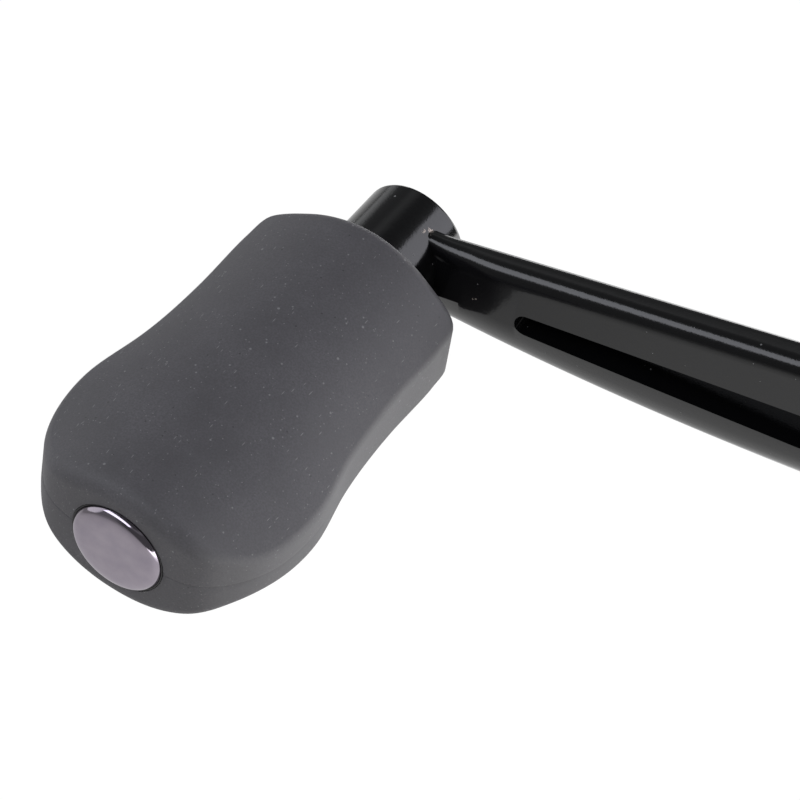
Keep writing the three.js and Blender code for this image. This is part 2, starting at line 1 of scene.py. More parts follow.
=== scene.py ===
"""Looks of a folding reel crank handle: a rubber paddle knob on a gloss black cast arm, the hinge knuckle
with its lock button, and the hexagonal drive shank with a screw cap, on a white studio floor.

Shapes are drawn in millimetres in one of three frames (knob, arm, knuckle) that are placed from the joints
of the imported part, and are turned into metres in the part's own frame at the end.
"""

import json
import math

import bmesh
import bpy
from mathutils import Matrix, Vector


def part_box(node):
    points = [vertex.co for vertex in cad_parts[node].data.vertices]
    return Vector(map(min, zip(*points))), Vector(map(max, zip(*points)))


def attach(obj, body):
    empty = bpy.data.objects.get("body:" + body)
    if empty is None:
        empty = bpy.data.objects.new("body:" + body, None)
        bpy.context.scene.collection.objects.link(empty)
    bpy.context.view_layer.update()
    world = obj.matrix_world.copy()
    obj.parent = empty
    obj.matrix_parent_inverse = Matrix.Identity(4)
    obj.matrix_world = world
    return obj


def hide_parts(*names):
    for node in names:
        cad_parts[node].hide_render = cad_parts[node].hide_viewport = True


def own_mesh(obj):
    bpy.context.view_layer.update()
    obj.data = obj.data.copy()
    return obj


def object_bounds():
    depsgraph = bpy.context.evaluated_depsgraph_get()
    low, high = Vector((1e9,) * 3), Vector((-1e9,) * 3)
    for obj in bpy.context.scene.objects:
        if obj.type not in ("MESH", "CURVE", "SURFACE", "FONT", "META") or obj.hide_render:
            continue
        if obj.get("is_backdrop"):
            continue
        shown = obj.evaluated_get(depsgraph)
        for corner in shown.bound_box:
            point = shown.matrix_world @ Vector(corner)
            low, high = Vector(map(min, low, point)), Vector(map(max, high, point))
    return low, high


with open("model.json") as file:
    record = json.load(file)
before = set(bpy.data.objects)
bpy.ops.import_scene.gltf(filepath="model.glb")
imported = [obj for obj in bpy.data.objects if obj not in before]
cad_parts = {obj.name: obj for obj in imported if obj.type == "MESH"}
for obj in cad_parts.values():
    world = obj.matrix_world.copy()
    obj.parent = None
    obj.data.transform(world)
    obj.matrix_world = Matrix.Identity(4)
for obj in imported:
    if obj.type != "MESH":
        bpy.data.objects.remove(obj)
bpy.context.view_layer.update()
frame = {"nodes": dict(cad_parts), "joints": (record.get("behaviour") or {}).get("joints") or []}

MM = 0.001

# ---------- frames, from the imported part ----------
PIVOT = {joint["name"]: Vector(joint["pos_m"]) for joint in frame["joints"] if "pos_m" in joint}
SEATING_FACE_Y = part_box("reel_collar")[1].y
DRIVE_ORIGIN = Vector((PIVOT["cap_turn"].x, SEATING_FACE_Y, PIVOT["cap_turn"].z))
KNOB_ROLL = math.radians(7)
GRIP_GAP = 1.1  # knob end to boss face
BOSS_FRONT = 4.0  # boss face on the knob side, from the arm's middle plane
ARM_ORIGIN = PIVOT["knob_spin"] + Vector((0, GRIP_GAP + BOSS_FRONT, 0)) * MM
ARM_LINE = PIVOT["arm_fold"] - ARM_ORIGIN
ARM_LEAN = math.atan2(ARM_LINE.y, ARM_LINE.x)
ARM_SPAN = ARM_LINE.length / MM

TO_METRES = Matrix.Scale(MM, 4)
KNOB_FRAME = Matrix.Translation(PIVOT["knob_spin"]) @ Matrix.Rotation(KNOB_ROLL, 4, "Y") @ TO_METRES
ARM_FRAME = Matrix.Translation(ARM_ORIGIN) @ Matrix.Rotation(ARM_LEAN, 4, "Z") @ TO_METRES
DRIVE_FRAME = Matrix.Translation(DRIVE_ORIGIN) @ TO_METRES
HINGE_FRAME = Matrix.Translation(PIVOT["arm_fold"]) @ TO_METRES

# ---------- driving dimensions, in millimetres ----------
GRIP_LENGTH = 44
GRIP_NECK_HALF = 12.1  # half width of the straight stretch near the boss
GRIP_BULB = 2.25  # how much wider each side is at the bulb
GRIP_BULB_AT = 0.71  # share of the length, from the boss end
GRIP_BULB_SPREAD = 0.2
GRIP_CROWN = 4.65  # rise of the broad faces from edge to middle
GRIP_EDGE_HALF = (4.3, 3.82, 3.2)  # half height of the faces' edges: boss end, middle, cap end
GRIP_ROUND = (1.35, 2.0)  # rounding of the faces' edges: up to the bulb, at the cap end
GRIP_FACE_INSET = 1.1
GRIP_BORE = 5.46
SEAM_DEPTH = 0.055  # at the cap end; it fades out towards the boss
SEAM_HALF_WIDTH = 0.14

CAP_RADIUS = 5.22
CAP_PROUD = 0.85
CAP_SAG = 0.8  # the polished face falls away by this much at its rim

ARM_THICKNESS = 4.4
ARM_TOP = (3.9, 8.9)  # height of the straight upper edge: at the boss, at the hinge
ARM_BOTTOM = (4.2, 8.7)  # depth of the curved lower edge: at the boss, at the hinge
ARM_BOTTOM_BEND = 22  # distance from the boss at which the lower edge has nearly levelled out
ARM_BACK_ROUND = 1.4
ARM_UNDER_ROUND = 3.0  # the lower front edge, across the arm's thickness
ARM_UNDER_STRETCH = 2.0  # how much taller than that the rounding is
ARM_TOP_ROUND = 2  # the upper front edge
ARM_TOP_SETBACK = 0.8  # the front face leans back by this much at the boss, not at the hinge
ARM_ROOT_RISE = (1.3, 7)  # the upper edge curves up into the boss: how much, from how far out
ARM_ROOT_SETBACK = (2.6, 13)  # the upper front edge curves back into the boss
BOSS_RADIUS = 5.9
BOSS_BACK = 4.7
RECESS_NEAR = (16.6, 1.25)  # distance along the arm, radius
RECESS_FAR = (47.5, 2.3)
RECESS_HEIGHT = -0.6
RECESS_DEPTH = 3.2
LUG_HALF_HEIGHT = 3.6
LUG_RADIUS = 4.5

CHEEK_RADIUS = 6
KNUCKLE_HALF_HEIGHT = 8.25
FORK_HALF_GAP = 4.4
HINGE_OFFSET = (PIVOT["cap_turn"].x - PIVOT["arm_fold"].x) / MM
HINGE_SETBACK = (SEATING_FACE_Y - PIVOT["arm_fold"].y) / MM
PIN_RADIUS = 1.6
BARREL_RADIUS = 7.2
BARREL_FRONT = -17
COLLAR_LENGTH = 2.2
SHANK_ACROSS_FLATS = 7
SHANK_CORNER_RADIUS = SHANK_ACROSS_FLATS / math.sqrt(3)
SHANK_LENGTH = 34
STUD_RADIUS = 2.5
STUD_LENGTH = 9
SCREW_CAP_RADIUS = 8
SCREW_CAP_LENGTH = 12
BUTTON_PLACE = Matrix.Translation((-4.6, -11.6, 0))
LOCK_TRAVEL = 1.4
SPRING_FOOT = -7.1
SPRING_TOP = -3.5

FINE_SEGMENTS = 128


# ---------- mesh helpers ----------
def lerp(a, b, share):
    return a + (b - a) * share


def clamp(share):
    return max(0.0, min(1.0, share))


def softened(profile, radius, closed=False):
    """The outline with each corner replaced by a curve that starts radius before it."""
    steps = 4
    longest_share = 0.45  # of a straight stretch that a curve may use up
    points = [Vector(point) for point in profile]
    made = []
    for i, corner in enumerate(points):
        if not closed and i in (0, len(points) - 1):
            made.append(corner)
            continue
        before, after = points[i - 1] - corner, points[(i + 1) % len(points)] - corner
        start = corner + before.normalized() * min(radius, before.length * longest_share)
        end = corner + after.normalized() * min(radius, after.length * longest_share)
        for step in range(steps + 1):
            share = step / steps
            made.append(start.lerp(corner, share).lerp(corner.lerp(end, share), share))
    return made


def skin(rings, open_ends=False):
    """A bmesh of quads between successive rings of points, capped at both ends unless open_ends."""
    bm = bmesh.new()
    rows = [[bm.verts.new(point) for point in ring] for ring in rings]
    count = len(rows[0])
    for low, high in zip(rows, rows[1:]):
        for i in range(count):
            j = (i + 1) % count
            bm.faces.new((low[i], low[j], high[j], high[i]))
    if not open_ends:
        bm.faces.new(reversed(rows[0]))
        bm.faces.new(rows[-1])
    tidy(bm)
    return bm


def tidy(bm):
    """Welds points that meet, drops faces with no area and turns every face outwards."""
    bmesh.ops.remove_doubles(bm, verts=bm.verts, dist=1e-4)
    bmesh.ops.dissolve_degenerate(bm, edges=bm.edges, dist=1e-5)
    bmesh.ops.recalc_face_normals(bm, faces=bm.faces)


def lathe(profile, soften=0.0, segments=FINE_SEGMENTS):
    """A turned piece about Y from (radius, y) points. It is a ring if the profile misses the axis."""
    on_axis = profile[0][0] == 0
    points = softened(profile, soften, closed=not on_axis) if soften else [Vector(p) for p in profile]
    rings = []
    for radius, y in points:
        angles = (2 * math.pi * i / segments for i in range(segments))
        rings.append([(radius * math.cos(a), y, radius * math.sin(a)) for a in angles])
    if on_axis:
        rings[0] = [(0, points[0].y, 0)] * segments
        rings[-1] = [(0, points[-1].y, 0)] * segments
    else:
        rings.append(rings[0])
    return skin(rings, open_ends=True)


def ring(inner, outer, low, high, soften=0.08):
    """A turned washer about Y, with rounded edges."""
    return lathe([(inner, low), (outer, low), (outer, high), (inner, high)], soften)


def rod(radius, low, high, segments=FINE_SEGMENTS, soften=0.0):
    """A solid cylinder about Y."""
    return lathe([(0, low), (radius, low), (radius, high), (0, high)], soften, segments)


def block(low, high):
    """A box between two opposite corners."""
    bm = bmesh.new()
    bmesh.ops.create_cube(bm, size=1)
    low, high = Vector(low), Vector(high)
    for vert in bm.verts:
        share = vert.co + Vector((0.5, 0.5, 0.5))
        vert.co = Vector(lerp(low[k], high[k], share[k]) for k in range(3))
    return bm


def moved(bm, matrix):
    bmesh.ops.transform(bm, matrix=matrix, verts=bm.verts)
    return bm


def upright(bm):
    """Turns a piece made about Y so that its +Y end points to +Z."""
    return moved(bm, Matrix.Rotation(math.pi / 2, 4, "X"))


def as_object(bm, name="tool"):
    mesh = bpy.data.meshes.new(name)
    bm.to_mesh(mesh)
    bm.free()
    made = bpy.data.objects.new(name, mesh)
    bpy.context.scene.collection.objects.link(made)
    return made


def baked(obj):
    """Applies an object's modifiers to its mesh."""
    evaluated = obj.evaluated_get(bpy.context.evaluated_depsgraph_get())
    mesh = bpy.data.meshes.new_from_object(evaluated)
    obj.modifiers.clear()
    obj.data = mesh
    return obj


def combined(base, tools, operation):
    """The boolean of base with each tool in turn. Each argument is a bmesh; the result is an object."""
    made = base if isinstance(base, bpy.types.Object) else as_object(base)
    for tool in tools:
        cutter = as_object(tool)
        modifier = made.modifiers.new("boolean", "BOOLEAN")
        modifier.operation = operation
        modifier.solver = "EXACT"
        modifier.object = cutter
        baked(made)
        bpy.data.objects.remove(cutter)
    return made


def join(base, *tools):
    return combined(base, tools, "UNION")


def cut(base, *tools):
    return combined(base, tools, "DIFFERENCE")


def bevelled(obj, width, angle=28, segments=3):
    """Rounds every edge sharper than angle."""
    modifier = obj.modifiers.new("bevel", "BEVEL")
    modifier.width = width
    modifier.segments = segments
    modifier.limit_method = "ANGLE"
    modifier.angle_limit = math.radians(angle)
    modifier.miter_outer = "MITER_ARC"
    return baked(obj)


def finished(name, shape, place, body, slot, stands_for, sharp_angle=32):
    """Puts a drawn shape in the part's frame, in metres, shaded smooth, on its body."""
    obj = shape if isinstance(shape, bpy.types.Object) else as_object(shape)
    obj.name = name
    obj.data.name = name
    obj.data.transform(place)
    obj.data.shade_smooth()
    obj.data.set_sharp_from_angle(angle=math.radians(sharp_angle))
    obj.data.materials.clear()
    obj.data.materials.append(MATERIALS[slot])
    weighting = obj.modifiers.new("weighted normals", "WEIGHTED_NORMAL")
    weighting.keep_sharp = True
    weighting.weight = 60
    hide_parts(*stands_for)
    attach(obj, body)
    return obj


# ---------- material helpers ----------
def add(tree, kind, inputs=None, **settings):
    """Adds a shader node. inputs maps a socket's name or number to a value or to another node's socket."""
    made = tree.nodes.new("ShaderNode" + kind)
    for key, value in settings.items():
        setattr(made, key, value)
    for key, value in (inputs or {}).items():
        if isinstance(value, bpy.types.NodeSocket):
            tree.links.new(value, made.inputs[key])
        else:
            made.inputs[key].default_value = value
    return made


def new_material(name):
    """A material with an empty Principled shader, and its coordinates in millimetres."""
    material = bpy.data.materials.new(name)
    material.use_nodes = True
    tree = material.node_tree
    shader = tree.nodes["Principled BSDF"]
    place = add(tree, "TexCoord").outputs["Object"]
    scale = add(tree, "VectorMath", {0: place, 1: (1 / MM, 1 / MM, 1 / MM)}, operation="MULTIPLY")
    return material, tree, shader, scale.outputs[0]


def noise(tree, place, per_mm, detail=2.0, roughness=0.5):
    """Fractal noise from 0 to 1, with about per_mm blobs to the millimetre."""
    inputs = {"Vector": place, "Scale": per_mm, "Detail": detail, "Roughness": roughness}
    return add(tree, "TexNoise", inputs).outputs[0]


def stretched(tree, place, scale, turn=0.0):
    """Coordinates turned about Z by degrees and scaled by axis."""
    inputs = {"Vector": place, "Scale": scale, "Rotation": (0, 0, math.radians(turn))}
    return add(tree, "Mapping", inputs).outputs[0]


def remap(tree, value, low, high, to_low=0.0, to_high=1.0):
    """Carries low..high over to to_low..to_high, and holds the ends beyond it."""
    inputs = {0: value, 1: low, 2: high, 3: to_low, 4: to_high}
    return add(tree, "MapRange", inputs, clamp=True).outputs[0]


def maths(tree, operation, a, b=0.0):
    return add(tree, "Math", {0: a, 1: b}, operation=operation).outputs[0]


def mix(tree, factor, a, b):
    """Colour a where the factor is 0, and b where it is 1."""
    factor_socket, a_socket, b_socket, result = 0, 6, 7, 2
    colours = {factor_socket: factor, a_socket: a, b_socket: b}
    return add(tree, "Mix", colours, data_type="RGBA").outputs[result]


def grey(value):
    return (value, value, value, 1)


def specks(tree, place, per_mm, size, share):
    """A mask of small round specks: share of the cells hold one, and size is its radius in cells."""
    cells = add(tree, "TexVoronoi", {"Vector": place, "Scale": per_mm})
    lottery = add(tree, "SeparateColor", {0: cells.outputs["Color"]}).outputs[0]
    chosen = maths(tree, "LESS_THAN", lottery, share)
    spot = remap(tree, cells.outputs["Distance"], size, 0.6 * size)
    return maths(tree, "MULTIPLY", chosen, spot)


def bump(tree, height, depth):
    """A bump whose full height range is depth millimetres."""
    return add(tree, "Bump", {"Height": height, "Distance": depth * MM, "Strength": 1.0}).outputs[0]


def connect(tree, shader, **inputs):
    """Sets the shader's inputs, named with underscores for spaces, to values or sockets."""
    for key, value in inputs.items():
        socket = shader.inputs[key.replace("_", " ")]
        if isinstance(value, bpy.types.NodeSocket):
            tree.links.new(value, socket)
        else:
            socket.default_value = value


# ---------- materials ----------
def grip_rubber():
    """Matt moulded rubber: fine grain, cloudy colour, dust, short fibres, dark pits, and sides painted
    paler as painted light.
    """
    material, tree, shader, place = new_material("grip_rubber")
    cloud = noise(tree, place, 0.13, 5, 0.62)
    grain = noise(tree, place, 5, 3)
    base = mix(tree, remap(tree, cloud, 0.35, 0.65), (0.093, 0.09, 0.096, 1), (0.121, 0.117, 0.125, 1))
    grained = mix(tree, remap(tree, grain, 0.35, 0.65, 0, 0.6), base, (0.074, 0.071, 0.076, 1))
    dust = specks(tree, place, 1.3, 0.1, 0.6)
    for per_mm, size, share in ((1.9, 0.14, 0.3), (0.7, 0.09, 0.6), (0.4, 0.07, 0.5)):
        dust = maths(tree, "MAXIMUM", dust, specks(tree, place, per_mm, size, share))
    for turn in (15, 70, -40):  # degrees
        fibres = specks(tree, stretched(tree, place, (2.8, 0.45, 2.8), turn), 0.8, 0.12, 0.16)
        dust = maths(tree, "MAXIMUM", dust, fibres)
    pits = specks(tree, place, 0.8, 0.1, 0.35)
    dusted = mix(tree, maths(tree, "MULTIPLY", dust, 0.3), grained, grey(0.5))
    pitted = mix(tree, maths(tree, "MULTIPLY", pits, 0.6), dusted, grey(0.03))
    # Painted light: faces turned to the sides, judged by their normal, are painted paler, as if lit more
    # than the top.
    normal = add(tree, "TexCoord").outputs["Normal"]
    sideways = add(tree, "SeparateXYZ", {0: normal}).outputs[0]
    painted_side_light = remap(tree, maths(tree, "ABSOLUTE", sideways), 0.5, 0.95, 0, 0.16)
    colour = mix(tree, painted_side_light, pitted, grey(0.4))
    rough = remap(tree, cloud, 0.3, 0.7, 0.56, 0.66)
    height = maths(tree, "ADD", maths(tree, "MULTIPLY", grain, 0.5), cloud)
    connect(tree, shader, Base_Color=colour, Roughness=rough, Normal=bump(tree, height, 0.012))
    connect(tree, shader, IOR=1.5)
    return material


def black_paint(chips):
    """Gloss black paint on a casting, with faint orange peel and dust. chips are (place, size in mm)
    pairs where the paint is off down to bare metal, with a ragged edge."""
    material, tree, shader, place = new_material("black_paint")
    peel = noise(tree, place, 0.45, 2)
    grit = noise(tree, place, 2.4, 3, 0.6)
    fine = noise(tree, place, 9, 1)
    coarse_dust = specks(tree, place, 0.42, 0.06, 0.4)
    fine_dust = specks(tree, place, 1.1, 0.08, 0.15)
    dust = maths(tree, "MAXIMUM", coarse_dust, fine_dust)
    colour = mix(tree, maths(tree, "MULTIPLY", dust, 0.35), (0.0035, 0.0035, 0.004, 1), grey(0.5))
    clean_rough = remap(tree, fine, 0.3, 0.7, 0.1, 0.17)
    rough = maths(tree, "ADD", clean_rough, maths(tree, "MULTIPLY", dust, 0.4))
    graininess = maths(tree, "ADD", maths(tree, "MULTIPLY", grit, 0.8), maths(tree, "MULTIPLY", fine, 0.03))
    height = maths(tree, "ADD", peel, graininess)
    ragged = remap(tree, noise(tree, place, 2.6, 3), 0.3, 0.7, -0.25, 0.25)
    chip = 0.0
    for centre, size in chips:
        away = add(tree, "VectorMath", {0: place, 1: centre / MM}, operation="DISTANCE").outputs["Value"]
        spot = remap(tree, maths(tree, "ADD", away, ragged), size, size * 0.8)
        chip = maths(tree, "MAXIMUM", chip, spot)
    chipped_colour = mix(tree, chip, colour, (0.34, 0.3, 0.27, 1))
    chipped_rough = maths(tree, "ADD", rough, maths(tree, "MULTIPLY", chip, 0.35))
    connect(tree, shader, Base_Color=chipped_colour, Metallic=chip, Roughness=chipped_rough)
    connect(tree, shader, IOR=1.5, Normal=bump(tree, height, 0.012))
    return material


def black_plastic():
    """Injection-moulded plastic with a fine spark-eroded texture and scuffed patches."""
    material, tree, shader, place = new_material("black_plastic")
    texture = noise(tree, place, 5, 3)
    scuff = noise(tree, place, 0.3, 3)
    colour = mix(tree, remap(tree, scuff, 0.35, 0.7), grey(0.008), grey(0.016))
    rough = remap(tree, scuff, 0.3, 0.7, 0.34, 0.48)
    connect(tree, shader, Base_Color=colour, Roughness=rough, Normal=bump(tree, texture, 0.01))
    return material


def polished_chrome():
    """Smoked chrome: a dark mirror with a violet cast, faint waviness and hairline scratches."""
    material, tree, shader, place = new_material("polished_chrome")
    wave = noise(tree, place, 0.5, 2)
    hairs = noise(tree, stretched(tree, place, (8, 8, 0.5), 20), 1.0, 1)
    tint = mix(tree, remap(tree, wave, 0.3, 0.7), (0.36, 0.32, 0.38, 1), (0.42, 0.375, 0.43, 1))
    rough = remap(tree, hairs, 0.45, 0.75, 0.06, 0.16)
    connect(tree, shader, Base_Color=tint, Metallic=1.0, Roughness=rough, Normal=bump(tree, wave, 0.004))
    return material


def steel():
    """Turned stainless steel with fine tool marks and small stains."""
    material, tree, shader, place = new_material("steel")
    marks = noise(tree, stretched(tree, place, (1, 14, 1)), 1.0, 2)
    stain = noise(tree, place, 0.4, 3)
    tint = mix(tree, remap(tree, stain, 0.45, 0.8), (0.5, 0.5, 0.51, 1), (0.43, 0.427, 0.42, 1))
    rough = remap(tree, marks, 0.3, 0.7, 0.22, 0.36)
    connect(tree, shader, Base_Color=tint, Metallic=1.0, Roughness=rough, Normal=bump(tree, marks, 0.006))
    return material


def nylon():
    """Natural nylon: off-white, slightly waxy."""
    material, tree, shader, place = new_material("nylon")
    cloud = noise(tree, place, 0.5, 3)
    colour = mix(tree, remap(tree, cloud, 0.3, 0.7), (0.66, 0.64, 0.58, 1), (0.74, 0.72, 0.68, 1))
    connect(tree, shader, Base_Color=colour, Roughness=remap(tree, cloud, 0.3, 0.7, 0.38, 0.5))
    connect(tree, shader, Normal=bump(tree, noise(tree, place, 4, 2), 0.006))
    return material


def seal_rubber():
    """Black seal rubber with a greasy sheen."""
    material, tree, shader, place = new_material("seal_rubber")
    smear = noise(tree, place, 0.8, 3)
    colour = mix(tree, remap(tree, smear, 0.3, 0.7), grey(0.012), grey(0.02))
    connect(tree, shader, Base_Color=colour, Roughness=remap(tree, smear, 0.3, 0.7, 0.35, 0.6))
    connect(tree, shader, Normal=bump(tree, noise(tree, place, 6, 2), 0.006))
    return material


PAINT_CHIPS = (  # place, radius in millimetres
    (ARM_FRAME @ Vector((4.0, 1.0, 4.6)), 0.3),
    (ARM_FRAME @ Vector((3.5, 0.4, 4.75)), 0.2),
    (ARM_FRAME @ Vector((10.6, -1.76, 0.4)), 0.2),
)
MATERIALS = {
    "grip_rubber": grip_rubber(),
    "black_paint": black_paint(PAINT_CHIPS),
    "black_plastic": black_plastic(),
    "polished_chrome": polished_chrome(),
    "steel": steel(),
    "nylon": nylon(),
    "seal_rubber": seal_rubber(),
}


# ---------- rubber grip ----------
# Knob frame: the origin is the middle of the boss end, and the knob runs along -Y.
def grip_half_width(y):
    """A straight neck that swells into a bulb."""
    from_bulb = -y / GRIP_LENGTH - GRIP_BULB_AT
    return GRIP_NECK_HALF + GRIP_BULB * math.exp(-((from_bulb / GRIP_BULB_SPREAD) ** 2))


def between_knots(a, b, start, end, now):
    return a.lerp(b, (now - start) / (end - start))


def centripetal_point(points, knots, now):
    """Barry and Goldman's pyramid for a Catmull-Rom segment with four points at four knots."""
    first = [between_knots(*points[k:k + 2], knots[k], knots[k + 1], now) for k in range(3)]
    second = [between_knots(*first[k:k + 2], knots[k], knots[k + 2], now) for k in range(2)]
    return between_knots(*second, knots[1], knots[2], now)


def centripetal_curve(points, count):
    """Evenly spaced points on the closed centripetal Catmull-Rom curve through the given points."""
    steps = 40
    dense = []
    for i in range(len(points)):
        four = [points[(i + k) % len(points)] for k in (-1, 0, 1, 2)]
        knots = [0.0]
        for a, b in zip(four, four[1:]):
            knots.append(knots[-1] + math.sqrt((b - a).length))
        for step in range(steps):
            dense.append(centripetal_point(four, knots, lerp(knots[1], knots[2], step / steps)))
    lengths = [0.0]
    for a, b in zip(dense, dense[1:] + dense[:1]):
        lengths.append(lengths[-1] + (b - a).length)
    made = []
    at = 0
    for i in range(count):
        goal = lengths[-1] * i / count
        while lengths[at + 1] < goal:
            at += 1
        share = (goal - lengths[at]) / (lengths[at + 1] - lengths[at])
        made.append(dense[at].lerp(dense[(at + 1) % len(dense)], share))
    return made


def grip_outline(count):
    """The grip seen from above, as points clockwise from the middle of the boss end."""
    boss_corner = [Vector((6.8, -0.4)), Vector((11.4, -1.4))]
    cap_corner = [Vector((11.8, 3.8 - GRIP_LENGTH)), Vector((8.5, 0.8 - GRIP_LENGTH))]
    side = []
    for share in (0.11, 0.3, 0.5, 0.68, 0.82):
        y = -share * GRIP_LENGTH
        side.append(Vector((grip_half_width(y), y)))
    half = boss_corner + side + cap_corner
    other = [Vector((-point.x, point.y)) for point in reversed(half)]
    return centripetal_curve([Vector((0, 0)), *half, Vector((0, -GRIP_LENGTH)), *other], count)


def grip_top(x, y):
    """Height of the upper face: a crown across, on edges that follow a parabola along the grip."""
    along = -y / GRIP_LENGTH
    boss, middle, cap = GRIP_EDGE_HALF
    edge = boss * (1 - along) * (1 - 2 * along)
    edge += middle * 4 * along * (1 - along)
    edge += cap * along * (2 * along - 1)
    across = x / (grip_half_width(y) - GRIP_FACE_INSET)
    return edge + GRIP_CROWN * (1 - across**2)


def grip_rounding(share):
    """The rounding of the broad faces' edges widens past the bulb."""
    return lerp(*GRIP_ROUND, clamp((share - GRIP_BULB_AT) / (1 - GRIP_BULB_AT)))


def grip_section(rim, outward):
    """Points from the middle of the upper face, over the rounded edge, down to the mould seam."""
    share = -rim.y / GRIP_LENGTH
    radius = grip_rounding(share)
    near = rim - outward * (radius / 2)
    step = 0.01
    slope_x = (grip_top(near.x + step, near.y) - grip_top(near.x, near.y)) / step
    slope_y = (grip_top(near.x, near.y + step) - grip_top(near.x, near.y)) / step
    slope = math.atan(max(0.0, -(slope_x * outward.x + slope_y * outward.y)))
    start = rim - outward * (radius * (1 - math.sin(slope)))
    start_z = grip_top(start.x, start.y)
    wall_top = start_z - radius * math.cos(slope)
    middle = Vector((0, -GRIP_LENGTH / 2))
    points = []
    face_rings, round_rings, wall_rings = 22, 14, 3
    for i in range(1, face_rings):
        flat = middle.lerp(start, i / face_rings)
        points.append((flat.x, flat.y, grip_top(flat.x, flat.y)))
    for i in range(round_rings + 1):
        angle = lerp(slope, math.pi / 2, i / round_rings)
        flat = start + outward * (radius * (math.sin(angle) - math.sin(slope)))
        points.append((flat.x, flat.y, wall_top + radius * math.cos(angle)))
    for i in range(1, wall_rings):
        points.append((rim.x, rim.y, lerp(wall_top, SEAM_HALF_WIDTH, i / wall_rings)))
    points.append((rim.x, rim.y, SEAM_HALF_WIDTH))
    seam_starts, seam_full = 0.6, 0.9
    groove = rim - outward * (SEAM_DEPTH * clamp((share - seam_starts) / (seam_full - seam_starts)))
    points.append((groove.x, groove.y, 0.3 * SEAM_HALF_WIDTH))
    return points


def grip():
    """A column of points for each place on the rim, skinned, with a fan over each broad face's middle."""
    rims = grip_outline(288)
    columns = []
    for i, rim in enumerate(rims):
        tangent = (rims[(i + 1) % len(rims)] - rims[i - 1]).normalized()
        upper = grip_section(rim, Vector((-tangent.y, tangent.x)))
        lower = [(x, y, -z) for x, y, z in reversed(upper)]
        columns.append(upper + lower)
    bm = bmesh.new()
    rows = [[bm.verts.new(point) for point in column] for column in columns]
    for i, row in enumerate(rows):
        after = rows[(i + 1) % len(rows)]
        for k in range(len(row) - 1):
            bm.faces.new((row[k], row[k + 1], after[k + 1], after[k]))
    for k, side in ((0, 1), (-1, -1)):
        centre = bm.verts.new((0, -GRIP_LENGTH / 2, side * grip_top(0, -GRIP_LENGTH / 2)))
        for i, row in enumerate(rows):
            bm.faces.new((row[k], rows[(i + 1) % len(rows)][k], centre))
    tidy(bm)
    body = cut(bm, rod(GRIP_BORE, -GRIP_LENGTH - 3, 3))
    return bevelled(body, 0.22, angle=50, segments=3)


def domed(radius, crest, sag):
    """A face that is nearly flat in the middle and falls away by sag at the rim."""
    steps = 20
    shares = [i / steps for i in range(steps + 1)]
    return [(radius * share, crest + sag * (1 - math.sqrt(1 - share**6))) for share in shares]


def knob_pieces():
    """The rubber, its polished cap in a black plug, and the washer towards the boss."""
    finished("rubber_grip", grip(), KNOB_FRAME, "knob", "grip_rubber", ["grip_cover"], 60)
    face = -GRIP_LENGTH
    back = face + 0.1
    disc = lathe([*domed(CAP_RADIUS, face - CAP_PROUD, CAP_SAG), (CAP_RADIUS, back), (0, back)])
    finished("polished_end_cap", disc, KNOB_FRAME, "knob", "polished_chrome", ["end_cap"], 60)
    seat = back + 0.12
    lip = face + 0.05
    lip_inner, lip_outer = CAP_RADIUS + 0.04, CAP_RADIUS + 0.19
    plug_end, plug_radius, flange = -39.5, 3.9, -43.5
    plug = lathe([
        (0, plug_end), (plug_radius, plug_end), (plug_radius, flange), (lip_outer, flange),
        (lip_outer, lip), (lip_inner, lip), (lip_inner, seat), (0, seat),
    ], 0.05)
    finished("end_cap_socket", plug, KNOB_FRAME, "knob", "black_plastic", ["cap_plug"])
    washer = ring(2.3, 4.1, 0.3, 0.8)
    finished("boss_thrust_washer", washer, KNOB_FRAME, "arm", "nylon", ["thrust_washer"])


# ---------- arm ----------
# Arm frame: the origin is on the knob axis in the arm's middle plane, and +X runs to the hinge.
BLADE_END = ARM_SPAN - CHEEK_RADIUS


def root_curve(size, reach, along):
    """How far the blade departs from its plain shape at a distance along the arm."""
    return size * clamp(1 - along / reach) ** 2


def blade_depth(share):
    """Depth of the lower edge, a quadratic Bezier curve that is level at the hinge.

    travelled is the curve's own parameter where it has covered that share of the arm.
    """
    bend = ARM_BOTTOM_BEND / BLADE_END
    travelled = (math.sqrt(bend**2 + (1 - 2 * bend) * share) - bend) / (1 - 2 * bend)
    at_boss, at_hinge = ARM_BOTTOM
    return at_boss * (1 - travelled) ** 2 + at_hinge * travelled * (2 - travelled)


def blade_section(along):
    """The blade's section at a distance along the arm, as points anticlockwise seen from +X."""
    corner_steps = 10
    smallest_round = 0.2
    share = along / BLADE_END
    half = ARM_THICKNESS / 2
    top = lerp(*ARM_TOP, share) + root_curve(*ARM_ROOT_RISE, along)
    bottom = -blade_depth(share)
    front_room = ARM_THICKNESS - ARM_BACK_ROUND
    wanted_setback = ARM_TOP_SETBACK * (1 - share) + root_curve(*ARM_ROOT_SETBACK, along)
    setback = min(wanted_setback, front_room - smallest_round)
    top_round = min(ARM_TOP_ROUND, front_room - setback)
    lean = math.degrees(math.atan(setback / (top - bottom)))
    back = ARM_BACK_ROUND
    under = ARM_UNDER_ROUND
    stretch = ARM_UNDER_STRETCH
    corners = (
        (half - back, bottom + back, back, 1, -90, 0),
        (half - back, top - back, back, 1, 0, 90),
        (setback - half + top_round, top - top_round, top_round, 1, 90, 180 + lean),
        (under - half, bottom + under * stretch, under, stretch, 180 + lean, 270),
    )
    points = []
    for centre_y, centre_z, radius, taller, start, end in corners:
        for step in range(corner_steps + 1):
            facing = math.radians(lerp(start, end, step / corner_steps))
            angle = math.atan2(taller * math.sin(facing), math.cos(facing))
            y = centre_y + radius * math.cos(angle)
            points.append((along, y, centre_z + taller * radius * math.sin(angle)))
    return points


